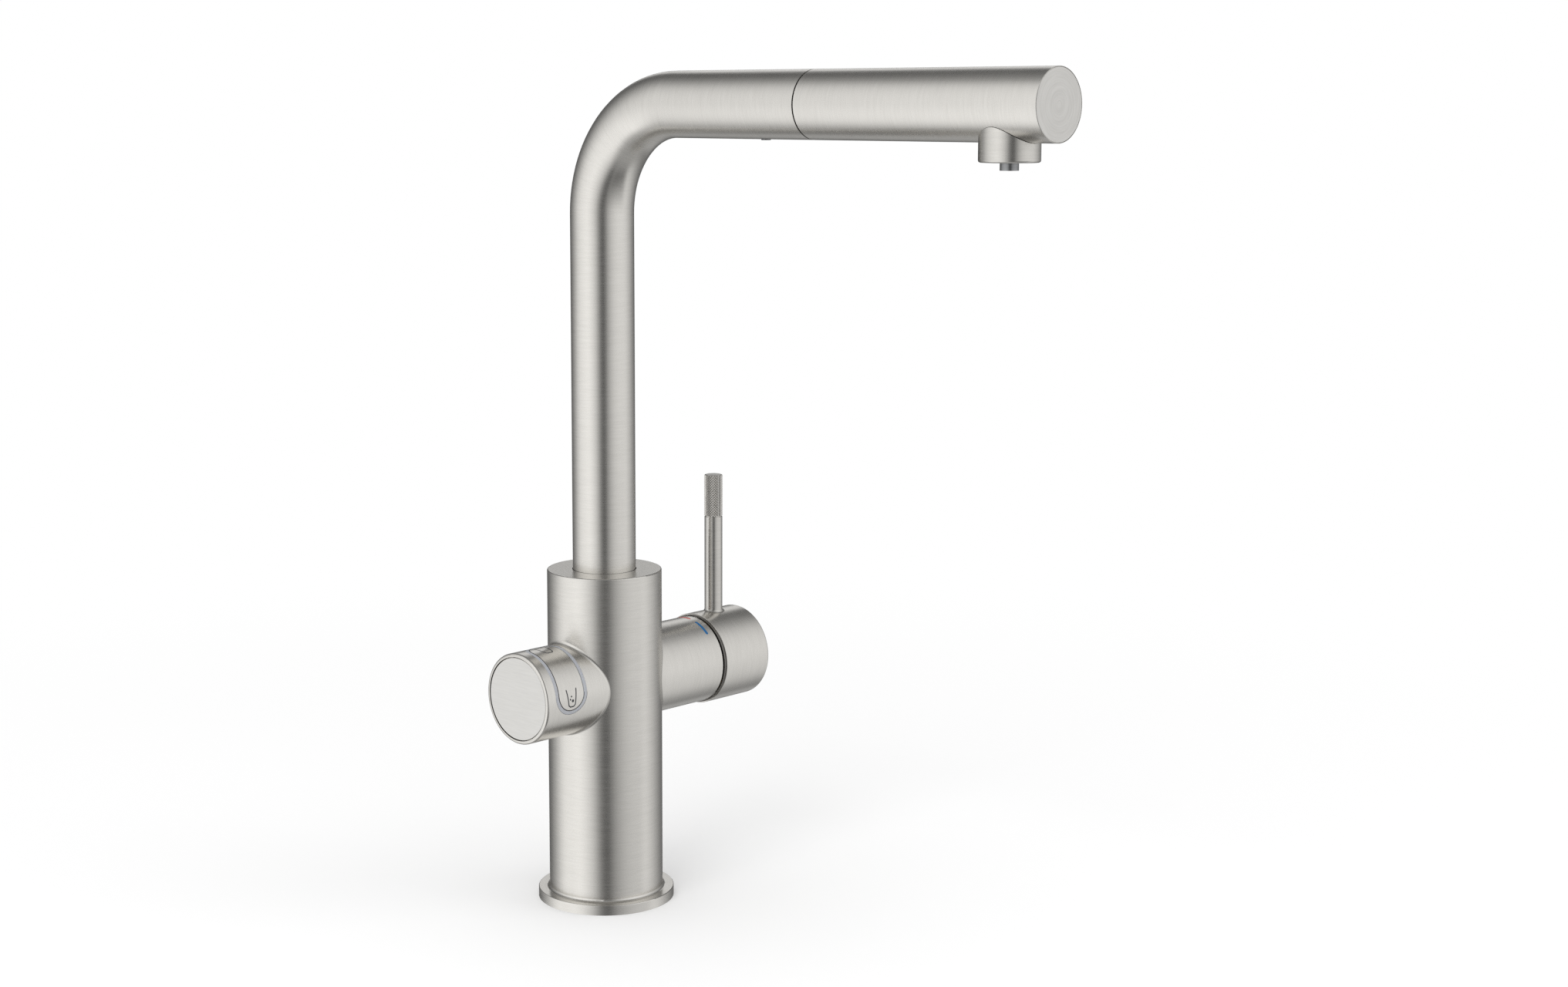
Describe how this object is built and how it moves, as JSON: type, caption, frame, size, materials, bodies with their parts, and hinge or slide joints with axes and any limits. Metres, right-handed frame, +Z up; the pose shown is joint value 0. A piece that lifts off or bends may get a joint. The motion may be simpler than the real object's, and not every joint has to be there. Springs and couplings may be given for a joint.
{
  "type": "filtered water kitchen tap",
  "caption": "Tall kitchen sink tap with a swivelling square-bend spout, pull-out dual-outlet head, knurled mixer lever on one arm and a light-ringed still/sparkling selector on the other.",
  "frame": {"origin": "centre of the base on the worktop surface, on the body's axis", "axes": "+Z up along the body's axis; the spout points along -Y at rest; the water selector arm points along -X and the mixer arm along +X"},
  "size_m": [0.1368, 0.2739, 0.4465],
  "materials": {
    "brushed_steel": "satin, brushed",
    "dull_steel": "satin",
    "dark_screw": "blackened",
    "brass": "machined",
    "rubber": "matte",
    "light_plastic": "moulded",
    "dark_plastic": "moulded",
    "aerator_plastic": "moulded",
    "circuit_board": "lacquered",
    "light_ring": "clear-coated light guide",
    "blue_mark": "enamelled",
    "red_mark": "enamelled",
    "ceramic": "lapped",
    "hose": "braided",
    "clear_line": "natural tube"
  },
  "bodies": {
    "tap_body": {"base_ring": "brushed_steel", "base_seal": "rubber", "fixing_shank": "brass", "rubber_washer": "rubber", "clamp_washer": "brushed_steel", "fixing_nut": "brass", "body_shell": "brushed_steel", "valve_block": "brass", "cable_grommet": "rubber", "hose_guide": "light_plastic", "thrust_washer": "light_plastic", "swivel_bush": "light_plastic", "swivel_stop": "brushed_steel", "mixer_sleeve": "brushed_steel", "cartridge_body": "light_plastic", "cartridge_nut": "brass", "fixed_disc": "ceramic", "cold_mark": "blue_mark", "hot_mark": "red_mark", "control_housing": "brushed_steel", "control_face": "brushed_steel", "control_carrier": "dark_plastic", "light_ring": "light_ring", "switch_board": "circuit_board", "key_switches": "dark_plastic", "rocker_pin": "brushed_steel"},
    "spout": {"spout_tube": "brushed_steel", "spout_foot": "brass", "docking_sleeve": "dark_plastic", "dock_screw": "dark_screw", "pull_hose": "hose", "filter_line": "clear_line", "hose_union": "brass"},
    "spray_head": {"spray_shell": "brushed_steel", "head_cap": "brushed_steel", "head_manifold": "light_plastic", "dock_spigot": "light_plastic", "hose_ferrule": "brass", "nozzle_collar": "brushed_steel", "aerator": "aerator_plastic", "filtered_outlet": "dull_steel"},
    "lever_carrier": {"cartridge_carrier": "dark_plastic", "moving_disc": "ceramic", "stem_pin": "brushed_steel"},
    "lever": {"cartridge_stem": "brass", "handle_cap": "brushed_steel", "lever_rod": "brushed_steel", "lever_screw": "dark_screw"},
    "selector": {"selector_rocker": "brushed_steel"}
  },
  "joints": [
    {"name": "spout_swivel", "type": "hinge", "parent": "tap_body", "child": "spout", "pos_m": [0, 0, 0.25], "axis": [0, 0, 1], "range_deg": [-75, 75]},
    {"name": "spray_pull", "type": "slide", "parent": "spout", "child": "spray_head", "axis": [0, -1, 0], "range_m": [0, 0.2]},
    {"name": "lever_turn", "type": "hinge", "parent": "tap_body", "child": "lever_carrier", "pos_m": [0.05, 0, 0.0995], "axis": [1, 0, 0], "range_deg": [-50, 50]},
    {"name": "lever_tilt", "type": "hinge", "parent": "lever_carrier", "child": "lever", "pos_m": [0.0514, 0, 0.0995], "axis": [0, 1, 0], "range_deg": [0, 20]},
    {"name": "selector_rock", "type": "hinge", "parent": "tap_body", "child": "selector", "pos_m": [-0.038, -0.00813, 0.10763], "axis": [1, 0, 0], "range_deg": [-1.5, 1.5], "stiffness_Nm_per_rad": 0.2}
  ]
}
